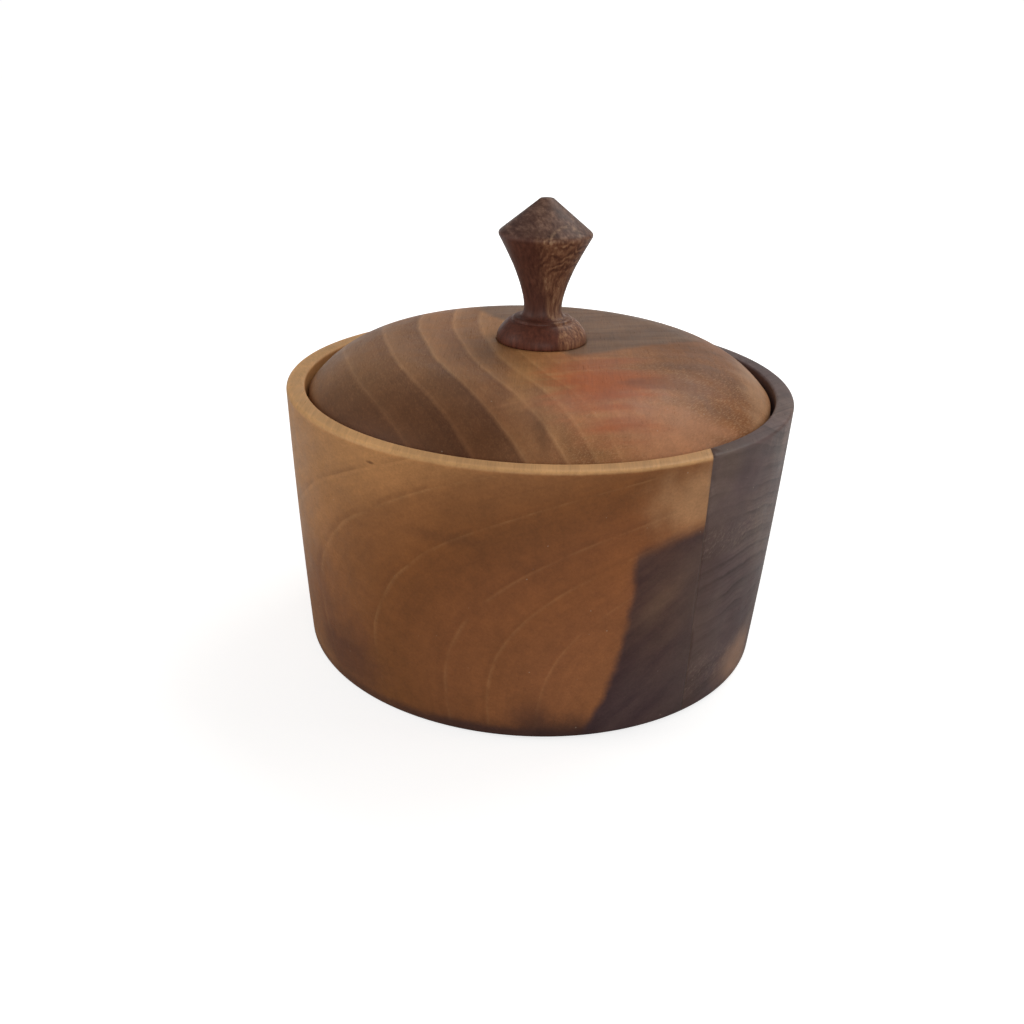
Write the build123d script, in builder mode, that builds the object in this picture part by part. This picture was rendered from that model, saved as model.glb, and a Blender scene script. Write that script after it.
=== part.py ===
from build123d import *

import os
from math import asin, degrees

# Wooden sugar bowl with a domed lid, millimetres, +Z up, origin at the centre of the base.

# Bowl, outside
RIM_RADIUS = 80.0
MID_RADIUS = 78.07
BASE_RADIUS = 75.28
BOWL_HEIGHT = 86.0
MID_HEIGHT = BOWL_HEIGHT / 2
BASE_EDGE = 2.5
RIM_EDGE = 0.9
REBATE_EDGE = 0.6

# Bowl, inside
REBATE_RADIUS = 74.35
LEDGE_HEIGHT = 78.0
CAVITY_TOP_RADIUS = 69.6
CAVITY_BASE_RADIUS = 66.4
FLOOR_HEIGHT = 10.0
CAVITY_CORNER = 14.0
LEDGE_EDGE = 0.6

# Recess under the bowl that leaves a standing ring
RECESS_RADIUS = 61.0
RECESS_DEPTH = 1.2
RECESS_EDGE = 0.6

# The glue line between the two boards of the bowl is the plane X = SEAM_X
SEAM_X = 47.1

# Lid
LID_RADIUS = 73.1
LID_APEX = 98.8
CROWN_RADIUS = 1200.0
CROWN_EDGE = 45.3
SHOULDER_RADIUS = 36.7
LID_EDGE = 0.6
DISH_RADIUS = 67.0
DISH_DEPTH = 3.0

# Seat and hole for the knob
COLLAR_RADIUS = 14.2
SEAT_CLEARANCE = 0.25
SEAT_HEIGHT = 98.6
TENON_RADIUS = 5.0
TENON_LENGTH = 12.0
TENON_CHAMFER = 0.6
TENON_BOTTOM = SEAT_HEIGHT - TENON_LENGTH
HOLE_END_GAP = 0.4
HOLE_BOTTOM = TENON_BOTTOM - HOLE_END_GAP

# Knob
COLLAR_FOOT = 0.9
COLLAR_MID = (13.25, 102.1)
COLLAR_TOP = (10.5, 105.1)
RING_FOOT = (9.3, 105.1)
RING_MID = (9.25, 105.8)
RING_TOP = (8.5, 106.2)
NECK_FOOT = (7.1, 106.3)
NECK_MIN = (5.9, 109.0)
NECK_LOW = (6.3, 112.1)
NECK_MID = (8.0, 118.0)
NECK_HIGH = (10.6, 124.0)
HEAD_UNDER = (14.1, 130.6)
HEAD_WIDEST = (14.45, 131.7)
HEAD_OVER = (13.75, 132.7)
TIP_RADIUS = 1.9
TIP_HEIGHT = 142.2
TIP_EDGE = 0.5


def arc_height(radius, centre_r, centre_z, r):
    """Height of the upper side of a circle of the section plane at radius r."""
    return centre_z + (radius**2 - (r - centre_r) ** 2) ** 0.5


# Shoulder of the lid: an arc tangent to the crown where the crown ends
crown_centre_z = LID_APEX - CROWN_RADIUS
crown_end_z = arc_height(CROWN_RADIUS, 0.0, crown_centre_z, CROWN_EDGE)
inward = (CROWN_RADIUS - SHOULDER_RADIUS) / CROWN_RADIUS
shoulder_r = CROWN_EDGE * inward
shoulder_z = crown_centre_z + (crown_end_z - crown_centre_z) * inward
lid_edge_z = arc_height(SHOULDER_RADIUS, shoulder_r, shoulder_z, LID_RADIUS)
mid_r = (CROWN_EDGE + LID_RADIUS) / 2
mid_z = arc_height(SHOULDER_RADIUS, shoulder_r, shoulder_z, mid_r)
crown_angle = degrees(asin(CROWN_EDGE / CROWN_RADIUS))

# Flat seat cut in the crown for the knob's collar
seat_r = COLLAR_RADIUS + SEAT_CLEARANCE
seat_top_z = arc_height(CROWN_RADIUS, 0.0, crown_centre_z, seat_r)
crown_sweep = crown_angle - degrees(asin(seat_r / CROWN_RADIUS))

# Dished underside: part of a ball
dish_ball = (DISH_RADIUS**2 + DISH_DEPTH**2) / (2 * DISH_DEPTH)
dish_centre_z = LEDGE_HEIGHT + DISH_DEPTH - dish_ball
dish_angle = degrees(asin(DISH_RADIUS / dish_ball))


def corner(section, r, z):
    """Corner of a section sketch at radius r and height z."""
    return [v for v in section.vertices() if abs(v.X - r) < 0.05 and abs(v.Y - z) < 0.05]


# The turned bowl, before it is parted along the glue line
with BuildPart() as blank:
    with BuildSketch(Plane.XZ) as wall:
        with BuildLine():
            Line((0, RECESS_DEPTH), (RECESS_RADIUS, RECESS_DEPTH))
            Line((RECESS_RADIUS, RECESS_DEPTH), (RECESS_RADIUS, 0))
            Line((RECESS_RADIUS, 0), (BASE_RADIUS, 0))
            ThreePointArc((BASE_RADIUS, 0), (MID_RADIUS, MID_HEIGHT), (RIM_RADIUS, BOWL_HEIGHT))
            Line((RIM_RADIUS, BOWL_HEIGHT), (REBATE_RADIUS, BOWL_HEIGHT))
            Line((REBATE_RADIUS, BOWL_HEIGHT), (REBATE_RADIUS, LEDGE_HEIGHT))
            Line((REBATE_RADIUS, LEDGE_HEIGHT), (CAVITY_TOP_RADIUS, LEDGE_HEIGHT))
            Line((CAVITY_TOP_RADIUS, LEDGE_HEIGHT), (CAVITY_BASE_RADIUS, FLOOR_HEIGHT))
            Line((CAVITY_BASE_RADIUS, FLOOR_HEIGHT), (0, FLOOR_HEIGHT))
            Line((0, FLOOR_HEIGHT), (0, RECESS_DEPTH))
        make_face()
        chamfer(corner(wall, RECESS_RADIUS, 0), RECESS_EDGE)
        fillet(corner(wall, BASE_RADIUS, 0), BASE_EDGE)
        fillet(corner(wall, RIM_RADIUS, BOWL_HEIGHT), RIM_EDGE)
        chamfer(corner(wall, REBATE_RADIUS, BOWL_HEIGHT), REBATE_EDGE)
        chamfer(corner(wall, CAVITY_TOP_RADIUS, LEDGE_HEIGHT), LEDGE_EDGE)
        fillet(corner(wall, CAVITY_BASE_RADIUS, FLOOR_HEIGHT), CAVITY_CORNER)
    revolve(axis=Axis.Z)

# The larger, pale board, left of the glue line
with BuildPart() as bowl_pale_board:
    add(blank.part)
    split(bisect_by=Plane.YZ.offset(SEAM_X), keep=Keep.BOTTOM)
bowl_pale_board.part.label = "bowl_pale_board"

# The smaller, dark board, right of the glue line
with BuildPart() as bowl_dark_board:
    add(blank.part)
    split(bisect_by=Plane.YZ.offset(SEAM_X), keep=Keep.TOP)
bowl_dark_board.part.label = "bowl_dark_board"

# The lid: a nearly flat crown, a round shoulder, a short upright edge and a dished underside,
# with a flat seat and a blind hole for the knob
with BuildPart() as lid_disc:
    with BuildSketch(Plane.XZ) as dome:
        with BuildLine():
            Line((0, LEDGE_HEIGHT + DISH_DEPTH), (0, HOLE_BOTTOM))
            Line((0, HOLE_BOTTOM), (TENON_RADIUS, HOLE_BOTTOM))
            Line((TENON_RADIUS, HOLE_BOTTOM), (TENON_RADIUS, SEAT_HEIGHT))
            Line((TENON_RADIUS, SEAT_HEIGHT), (seat_r, SEAT_HEIGHT))
            Line((seat_r, SEAT_HEIGHT), (seat_r, seat_top_z))
            CenterArc((0, crown_centre_z), CROWN_RADIUS, 90 - crown_angle, crown_sweep)
            ThreePointArc((CROWN_EDGE, crown_end_z), (mid_r, mid_z), (LID_RADIUS, lid_edge_z))
            Line((LID_RADIUS, lid_edge_z), (LID_RADIUS, LEDGE_HEIGHT))
            Line((LID_RADIUS, LEDGE_HEIGHT), (DISH_RADIUS, LEDGE_HEIGHT))
            CenterArc((0, dish_centre_z), dish_ball, 90 - dish_angle, dish_angle)
        make_face()
        fillet(corner(dome, LID_RADIUS, lid_edge_z), LID_EDGE)
        fillet(corner(dome, LID_RADIUS, LEDGE_HEIGHT), LID_EDGE)
    revolve(axis=Axis.Z)
lid_disc.part.label = "lid_disc"

# The knob: tenon, collar, small ring, flared neck and a cone-topped head, turned in one piece
with BuildPart() as lid_knob:
    with BuildSketch(Plane.XZ) as finial:
        with BuildLine():
            Line((0, TENON_BOTTOM), (TENON_RADIUS, TENON_BOTTOM))
            Line((TENON_RADIUS, TENON_BOTTOM), (TENON_RADIUS, SEAT_HEIGHT))
            Line((TENON_RADIUS, SEAT_HEIGHT), (COLLAR_RADIUS, SEAT_HEIGHT))
            Line((COLLAR_RADIUS, SEAT_HEIGHT), (COLLAR_RADIUS, SEAT_HEIGHT + COLLAR_FOOT))
            ThreePointArc((COLLAR_RADIUS, SEAT_HEIGHT + COLLAR_FOOT), COLLAR_MID, COLLAR_TOP)
            Line(COLLAR_TOP, RING_FOOT)
            ThreePointArc(RING_FOOT, RING_MID, RING_TOP)
            Line(RING_TOP, NECK_FOOT)
            Spline(NECK_FOOT, NECK_MIN, NECK_LOW, NECK_MID, NECK_HIGH, HEAD_UNDER)
            ThreePointArc(HEAD_UNDER, HEAD_WIDEST, HEAD_OVER)
            Line(HEAD_OVER, (TIP_RADIUS, TIP_HEIGHT))
            Line((TIP_RADIUS, TIP_HEIGHT), (0, TIP_HEIGHT))
            Line((0, TIP_HEIGHT), (0, TENON_BOTTOM))
        make_face()
        chamfer(corner(finial, TENON_RADIUS, TENON_BOTTOM), TENON_CHAMFER)
        fillet(corner(finial, TIP_RADIUS, TIP_HEIGHT), TIP_EDGE)
    revolve(axis=Axis.Z)
lid_knob.part.label = "lid_knob"

os.makedirs("parts", exist_ok=True)
export_step(bowl_pale_board.part, "parts/bowl_pale_board.step")
export_step(bowl_dark_board.part, "parts/bowl_dark_board.step")
export_step(lid_disc.part, "parts/lid_disc.step")
export_step(lid_knob.part, "parts/lid_knob.step")
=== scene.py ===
"""Visual model of a turned wooden sugar bowl with a domed lid and a finial knob."""
import logging
import math
from dataclasses import dataclass
from enum import Enum
from typing import Sequence

import bmesh
import bpy
from mathutils import Matrix, Vector


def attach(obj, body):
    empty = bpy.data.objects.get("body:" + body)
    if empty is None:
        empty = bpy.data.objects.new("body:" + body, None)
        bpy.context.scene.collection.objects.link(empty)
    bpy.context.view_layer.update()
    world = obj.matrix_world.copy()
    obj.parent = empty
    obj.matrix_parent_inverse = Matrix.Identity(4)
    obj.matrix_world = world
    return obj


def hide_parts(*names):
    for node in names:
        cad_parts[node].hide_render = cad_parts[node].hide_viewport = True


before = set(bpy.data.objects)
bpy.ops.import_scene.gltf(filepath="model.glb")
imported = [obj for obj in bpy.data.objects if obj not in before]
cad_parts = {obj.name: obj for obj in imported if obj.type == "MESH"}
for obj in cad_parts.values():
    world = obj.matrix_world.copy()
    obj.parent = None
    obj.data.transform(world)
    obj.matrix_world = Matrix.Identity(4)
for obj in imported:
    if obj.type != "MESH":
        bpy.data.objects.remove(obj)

LOG = logging.getLogger("sugar_bowl")
MM = 0.001
WELD = 1e-7
ON_CUT = 1e-6
Socket = bpy.types.NodeSocket
Colour = tuple[float, float, float]
Triple = tuple[float, float, float]
Stop = tuple[float, Colour]
Point2 = tuple[float, float]


def srgb(red: int, green: int, blue: int) -> Colour:
    """Linear colour of an 8-bit display colour.

    Args:
        red: Red, 0 to 255.
        green: Green, 0 to 255.
        blue: Blue, 0 to 255.

    Returns:
        The linear red, green and blue.
    """

    def linear(value: int) -> float:
        """One channel, made linear."""
        share = value / 255
        return share / 12.92 if share <= 0.04045 else ((share + 0.055) / 1.055) ** 2.4

    return (linear(red), linear(green), linear(blue))


class Body(Enum):
    """The two rigid bodies of the frame."""

    BOWL = "bowl"
    LID = "lid"


class Side(Enum):
    """The side of the glue line that a board lies on."""

    LEFT = 1
    RIGHT = -1


class NodeBench:
    """Adds nodes to one tree and joins them."""

    def __init__(self, tree: bpy.types.NodeTree) -> None:
        """Keeps the tree that the nodes go into."""
        self.tree = tree

    def add(self, kind: str, **settings: object) -> bpy.types.Node:
        """Adds a node.

        Args:
            kind: The node's type name, without its common prefix.
            settings: Properties to set on it.

        Returns:
            The new node.
        """
        node = self.tree.nodes.new("ShaderNode" + kind)
        for name, value in settings.items():
            setattr(node, name, value)
        return node

    def feed(self, socket: Socket, value: object) -> None:
        """Joins a socket to another, or sets its value."""
        if isinstance(value, Socket):
            self.tree.links.new(value, socket)
        elif isinstance(value, (int, float)):
            socket.default_value = value
        elif socket.type == "RGBA":
            socket.default_value = (*value[:3], 1.0)
        else:
            socket.default_value = tuple(value)

    def math(self, kind: str, *values: object) -> Socket:
        """A Math node's result.

        Args:
            kind: The operation.
            values: One to three sockets or numbers.

        Returns:
            The result socket.
        """
        node = self.add("Math", operation=kind)
        for socket, value in zip(node.inputs, values):
            self.feed(socket, value)
        return node.outputs[0]

    def chain(self, kind: str, values: Sequence[object]) -> Socket:
        """Works a Math operation through two or more values, from the left.

        Args:
            kind: The operation.
            values: Sockets or numbers.

        Returns:
            The last result's socket.
        """
        result = values[0]
        for value in values[1:]:
            result = self.math(kind, result, value)
        return result

    def total(self, *values: object) -> Socket:
        """The sum of two or more sockets or numbers."""
        return self.chain("ADD", values)

    def times(self, *values: object) -> Socket:
        """The product of two or more sockets or numbers."""
        return self.chain("MULTIPLY", values)

    def minus(self, one: object, two: object) -> Socket:
        """One socket or number less another."""
        return self.math("SUBTRACT", one, two)

    def over(self, one: object, two: object) -> Socket:
        """One socket or number divided by another."""
        return self.math("DIVIDE", one, two)

    def positive(self, value: object) -> Socket:
        """A number, or 0 where it lies below 0."""
        return self.math("MAXIMUM", value, 0.0)

    def vector(self, kind: str, *values: object) -> Socket:
        """A Vector Math node's result.

        Args:
            kind: The operation.
            values: Sockets, triples, or the scale of a SCALE operation.

        Returns:
            The result socket: a number for LENGTH.
        """
        node = self.add("VectorMath", operation=kind)
        if kind == "SCALE":
            self.feed(node.inputs[0], values[0])
            self.feed(node.inputs["Scale"], values[1])
        else:
            for socket, value in zip(node.inputs, values):
                self.feed(socket, value)
        return node.outputs["Value" if kind == "LENGTH" else "Vector"]

    def parts(self, vector: Socket) -> tuple[Socket, ...]:
        """The three numbers of a vector."""
        node = self.add("SeparateXYZ")
        self.feed(node.inputs[0], vector)
        return tuple(node.outputs)

    def join(self, x: object, y: object, z: object) -> Socket:
        """A vector of three numbers."""
        node = self.add("CombineXYZ")
        for socket, value in zip(node.inputs, (x, y, z)):
            self.feed(socket, value)
        return node.outputs[0]

    def turned(self, vector: Socket, degrees: float) -> Socket:
        """A vector read in axes turned about Z.

        Args:
            vector: The vector.
            degrees: How far the axes are turned, anticlockwise from above.

        Returns:
            Its numbers along the turned axes.
        """
        x, y, z = self.parts(vector)
        cosine, sine = math.cos(math.radians(degrees)), math.sin(math.radians(degrees))
        first = self.total(self.times(x, cosine), self.times(y, sine))
        second = self.minus(self.times(y, cosine), self.times(x, sine))
        return self.join(first, second, z)

    def distance(self, point: Socket, centre: Triple, reach: Triple) -> Socket:
        """How far a point lies from a centre, counted in reaches.

        Args:
            point: The point.
            centre: The centre.
            reach: What counts as 1 along each axis.

        Returns:
            The distance's socket.
        """
        away = self.vector("SUBTRACT", point, centre)
        return self.vector("LENGTH", self.vector("DIVIDE", away, reach))

    def step(self, value: object, low: float, high: float) -> Socket:
        """A smooth step from 0 at low to 1 at high.

        Args:
            value: The number to judge.
            low: Where the step starts.
            high: Where it ends; below low for a falling step.

        Returns:
            The step's socket.
        """
        falls = high < low
        node = self.add("MapRange", interpolation_type="SMOOTHSTEP")
        self.feed(node.inputs["Value"], value)
        node.inputs["From Min"].default_value = min(low, high)
        node.inputs["From Max"].default_value = max(low, high)
        node.inputs["To Min"].default_value = float(falls)
        node.inputs["To Max"].default_value = float(not falls)
        return node.outputs["Result"]

    def spread(
        self, value: object, low: float, high: float, to_low: float = 0.0, to_high: float = 1.0
    ) -> Socket:
        """A straight, clamped change of range.

        Args:
            value: The number to change.
            low: Low end of its range.
            high: High end of its range.
            to_low: What low becomes.
            to_high: What high becomes.

        Returns:
            The changed number's socket.
        """
        node = self.add("MapRange", interpolation_type="LINEAR")
        self.feed(node.inputs["Value"], value)
        names = ("From Min", "From Max", "To Min", "To Max")
        for name, number in zip(names, (low, high, to_low, to_high)):
            node.inputs[name].default_value = number
        return node.outputs["Result"]

    def ramp(self, value: object, stops: Sequence[Stop]) -> Socket:
        """A colour ramp.

        Args:
            value: The place on the ramp, 0 to 1.
            stops: Place and linear colour of each stop, in order.

        Returns:
            The colour socket.
        """
        node = self.add("ValToRGB")
        ramp = node.color_ramp
        while len(ramp.elements) > 1:
            ramp.elements.remove(ramp.elements[-1])
        ramp.elements[0].position = stops[0][0]
        ramp.elements[0].color = (*stops[0][1], 1.0)
        for place, colour in stops[1:]:
            ramp.elements.new(place).color = (*colour, 1.0)
        self.feed(node.inputs[0], value)
        return node.outputs["Color"]

    def blend(self, share: object, one: object, two: object, kind: str = "MIX") -> Socket:
        """A mix of two colours.

        Args:
            share: How much of the second, 0 to 1.
            one: First colour.
            two: Second colour.
            kind: Blend type.

        Returns:
            The mixed colour's socket.
        """
        node = self.add("Mix", data_type="RGBA", blend_type=kind)
        self.feed(node.inputs[0], share)
        self.feed(node.inputs[6], one)
        self.feed(node.inputs[7], two)
        return node.outputs[2]

    def tinted(self, share: object, colour: object, tint: Colour) -> Socket:
        """A colour multiplied by another, as far as a share says.

        Args:
            share: How much of the product shows, 0 to 1.
            colour: The colour.
            tint: What it is multiplied by.

        Returns:
            The tinted colour's socket.
        """
        return self.blend(share, colour, self.blend(1.0, colour, tint, "MULTIPLY"))

    def toned(self, colour: object, tone: Socket) -> Socket:
        """A colour made lighter or darker by a number around 1."""
        return self.vector("SCALE", colour, tone)

    def grain(self, vector: object, scale: float, detail: float = 2.0, roughness: float = 0.5) -> Socket:
        """A noise value.

        Args:
            vector: Where to read it.
            scale: Its scale.
            detail: Octaves.
            roughness: How strong the finer octaves are.

        Returns:
            The value's socket, around 0.5.
        """
        node = self.add("TexNoise", noise_dimensions="3D")
        self.feed(node.inputs["Vector"], vector)
        node.inputs["Scale"].default_value = scale
        node.inputs["Detail"].default_value = detail
        node.inputs["Roughness"].default_value = roughness
        return node.outputs["Fac"]

    def drawn_grain(
        self, vector: object, fineness: Triple, detail: float = 4.0, roughness: float = 0.6
    ) -> Socket:
        """A noise value drawn out by its own measure along each axis.

        Args:
            vector: Where to read it.
            fineness: Its scale along X, Y and Z.
            detail: Octaves.
            roughness: How strong the finer octaves are.

        Returns:
            The value's socket, around 0.5.
        """
        return self.grain(self.vector("MULTIPLY", vector, fineness), 1.0, detail, roughness)

    def waver(self, vector: object, scale: float, reach: float, detail: float = 3.0) -> Socket:
        """A noise value around 0, between about -reach and +reach."""
        return self.times(self.minus(self.grain(vector, scale, detail, 0.58), 0.5), 4 * reach)

    def cells(self, vector: object, scale: float) -> Socket:
        """Distance from the nearest of many scattered points.

        Args:
            vector: Where to read it.
            scale: How densely the points lie.

        Returns:
            The distance's socket, in the spacing of the points.
        """
        node = self.add("TexVoronoi", feature="F1", distance="EUCLIDEAN")
        self.feed(node.inputs["Vector"], vector)
        node.inputs["Scale"].default_value = scale
        return node.outputs["Distance"]

    def place(self, group: bpy.types.NodeTree, **inputs: object) -> dict[str, Socket]:
        """Puts a node group in the tree.

        Args:
            group: The group.
            inputs: Its inputs by name.

        Returns:
            Its outputs by name.
        """
        node = self.add("Group")
        node.node_tree = group
        for name, value in inputs.items():
            self.feed(node.inputs[name], value)
        return {socket.name: socket for socket in node.outputs}


class EffectBook:
    """The shader node groups that the woods share, each built once."""

    def __init__(self) -> None:
        """Builds every group."""
        self.rings = self._ring_depth()
        self.bands = self._growth_bands()
        self.fibres = self._fibres()
        self.flecks = self._flecks()
        self.turning = self._turning_marks()
        self.handling = self._handling()
        self.wear_and_highlight = self._edge_wear_and_highlight()

    @staticmethod
    def _open(
        name: str, inputs: dict[str, float | None], outputs: Sequence[str]
    ) -> tuple[NodeBench, dict[str, Socket], dict[str, Socket]]:
        """Starts a group.

        Args:
            name: Its name.
            inputs: Default of each number input by name, or None for a vector input.
            outputs: Names of its number outputs.

        Returns:
            The bench, the input sockets by name and the output sockets by name.
        """
        tree = bpy.data.node_groups.new(name, "ShaderNodeTree")
        for label, default in inputs.items():
            kind = "NodeSocketVector" if default is None else "NodeSocketFloat"
            socket = tree.interface.new_socket(label, in_out="INPUT", socket_type=kind)
            if default is not None:
                socket.default_value = default
        for label in outputs:
            tree.interface.new_socket(label, in_out="OUTPUT", socket_type="NodeSocketFloat")
        entry = tree.nodes.new("NodeGroupInput")
        leave = tree.nodes.new("NodeGroupOutput")
        return (
            NodeBench(tree),
            {socket.name: socket for socket in entry.outputs if socket.name},
            {socket.name: socket for socket in leave.inputs if socket.name},
        )

    def _ring_depth(self) -> bpy.types.NodeTree:
        """Depth in a log whose rings show as nested, bent arcs across the plane of Point's X and Y.

        Returns:
            The group: Depth in mm, from Point in mm with its Z along the fibres.
        """
        wants = {"Point": None, "Heading": 0.0, "Bend": 0.0, "Shift": 0.0, "Waver": 1.0}
        b, i, o = self._open("ring_depth", wants, ["Depth"])
        x, y, z = b.parts(i["Point"])
        cosine = b.math("COSINE", i["Heading"])
        sine = b.math("SINE", i["Heading"])
        along = b.total(b.times(x, cosine), b.times(y, sine))
        across = b.minus(b.times(y, cosine), b.times(x, sine))
        offset = b.minus(across, i["Shift"])
        bowed = b.times(offset, offset, i["Bend"])
        slow = b.join(x, y, b.times(z, 0.35))
        moved = b.total(b.waver(slow, 0.028, 1.75, 1.0), b.waver(slow, 0.13, 0.5, 2.0))
        b.feed(o["Depth"], b.total(along, bowed, b.times(moved, i["Waver"])))
        return b.tree

    def _growth_bands(self) -> bpy.types.NodeTree:
        """Yearly rings of uneven width.

        Returns:
            The group: Late (dark late wood, 0 to 1) and Tone (one random number a ring).
        """
        b, i, o = self._open("growth_bands", {"Depth": 0.0, "Spacing": 2.0, "Seed": 0.0}, ["Late", "Tone"])
        turns = b.over(i["Depth"], i["Spacing"])
        seat = b.join(b.times(turns, 0.31), i["Seed"], 0.0)
        count = b.total(turns, b.waver(seat, 1.0, 0.65, 1.0))
        rise = b.math("FRACT", count)
        random = b.add("TexWhiteNoise", noise_dimensions="2D")
        b.feed(random.inputs["Vector"], b.join(b.math("FLOOR", count), i["Seed"], 0.0))
        b.feed(o["Late"], b.times(b.step(rise, 0.35, 0.9), b.step(rise, 1.0, 0.9)))
        b.feed(o["Tone"], random.outputs["Value"])
        return b.tree

    def _fibres(self) -> bpy.types.NodeTree:
        """Fibres and open pores, drawn out along Point's Z.

        Returns:
            The group: Streak (around 0.5), Pore (0 to 1, thin dark dashes) and Shimmer (broader, around 0.5).
        """
        wants = {"Point": None, "Stretch": 0.05, "Fineness": 1.0}
        b, i, o = self._open("fibres", wants, ["Streak", "Pore", "Shimmer"])
        x, y, z = b.parts(i["Point"])
        drawn = b.vector("SCALE", b.join(x, y, b.times(z, i["Stretch"])), i["Fineness"])
        b.feed(o["Streak"], b.grain(drawn, 1.4, 5.0, 0.62))
        fine = b.grain(drawn, 3.3)
        where = b.grain(drawn, 0.22)
        b.feed(o["Pore"], b.step(b.minus(fine, b.times(where, 0.22)), 0.525, 0.60))
        b.feed(o["Shimmer"], b.grain(drawn, 0.30, 3.0, 0.55))
        return b.tree

    def _flecks(self) -> bpy.types.NodeTree:
        """Short pale dashes of ray cells, drawn out along Point's X.

        Returns:
            The group: Fleck, 0 to 1.
        """
        b, i, o = self._open("flecks", {"Point": None, "Fineness": 1.0}, ["Fleck"])
        drawn = b.vector("SCALE", b.vector("MULTIPLY", i["Point"], (0.2, 1.0, 1.0)), i["Fineness"])
        lit = b.total(b.grain(drawn, 1.15, 2.0, 0.6), b.waver(i["Point"], 0.16, 0.04))
        b.feed(o["Fleck"], b.step(lit, 0.49, 0.66))
        return b.tree

    def _turning_marks(self) -> bpy.types.NodeTree:
        """Fine rings that the lathe tool leaves round the upright axis.

        Returns:
            The group: Height, around 0.5, from Point in mm.
        """
        b, i, o = self._open("turning_marks", {"Point": None, "Pitch": 1.0}, ["Height"])
        x, y, z = b.parts(i["Point"])
        radius = b.vector("LENGTH", b.join(x, y, 0.0))
        section = b.vector("ADD", b.join(radius, z, 0.0), b.vector("SCALE", i["Point"], 0.02))
        b.feed(o["Height"], b.grain(b.vector("SCALE", section, i["Pitch"]), 2.2, 3.0, 0.6))
        return b.tree

    def _handling(self) -> bpy.types.NodeTree:
        """What oil, hands and air leave on wood.

        Returns:
            The group: Patch (broad tone) and Smear (finish), both around 0.5, and Speck (pale dust, 0 to 1).
        """
        b, i, o = self._open("handling", {"Point": None, "Seed": 0.0}, ["Patch", "Smear", "Speck"])
        moved = b.vector("ADD", i["Point"], b.join(i["Seed"], b.times(i["Seed"], 1.7), 0.0))
        b.feed(o["Patch"], b.grain(moved, 0.035, 3.0, 0.55))
        b.feed(o["Smear"], b.grain(moved, 0.16, 4.0, 0.6))
        near = b.step(b.cells(moved, 0.19), 0.055, 0.03)
        rare = b.step(b.grain(moved, 0.61, 0.0), 0.5, 0.54)
        b.feed(o["Speck"], b.times(near, rare))
        return b.tree

    def _edge_wear_and_highlight(self) -> bpy.types.NodeTree:
        """Where hands rub a turned edge that runs round the upright axis, and where a painted highlight lies
        along it.

        Returns:
            The group: Near, 0 to 1, from Point, Radius, Height and Reach in mm.
        """
        wants = {"Point": None, "Radius": 10.0, "Height": 0.0, "Reach": 1.0}
        b, i, o = self._open("edge_wear_and_highlight", wants, ["Near"])
        x, y, z = b.parts(i["Point"])
        radius = b.vector("LENGTH", b.join(x, y, 0.0))
        away = b.join(b.minus(radius, i["Radius"]), b.minus(z, i["Height"]), 0.0)
        distance = b.over(b.vector("LENGTH", away), i["Reach"])
        b.feed(o["Near"], b.step(b.total(distance, b.waver(i["Point"], 0.3, 0.18)), 1.0, 0.2))
        return b.tree


@dataclass(frozen=True)
class Blob:
    """A soft patch of colour laid on the wood: mostly the wood's own colour, and on the lid's right shoulder
    painted light.

    Attributes:
        centre: Its middle, in mm.
        reach: Its half sizes, in mm.
        colour: Its colour.
        strength: How much of it shows, 0 to 1.
        turn: How far it is turned about Z, in degrees.
    """

    centre: Triple
    reach: Triple
    colour: Colour
    strength: float
    turn: float = 0.0


@dataclass(frozen=True)
class Edge:
    """A turned edge drawn paler: partly worn by hands, partly a painted highlight.

    Attributes:
        radius: Its radius, in mm.
        height: Its height, in mm.
        reach: How far the paler band goes, in mm.
        strength: How strong it is, 0 to 1.
    """

    radius: float
    height: float
    reach: float
    strength: float


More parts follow.
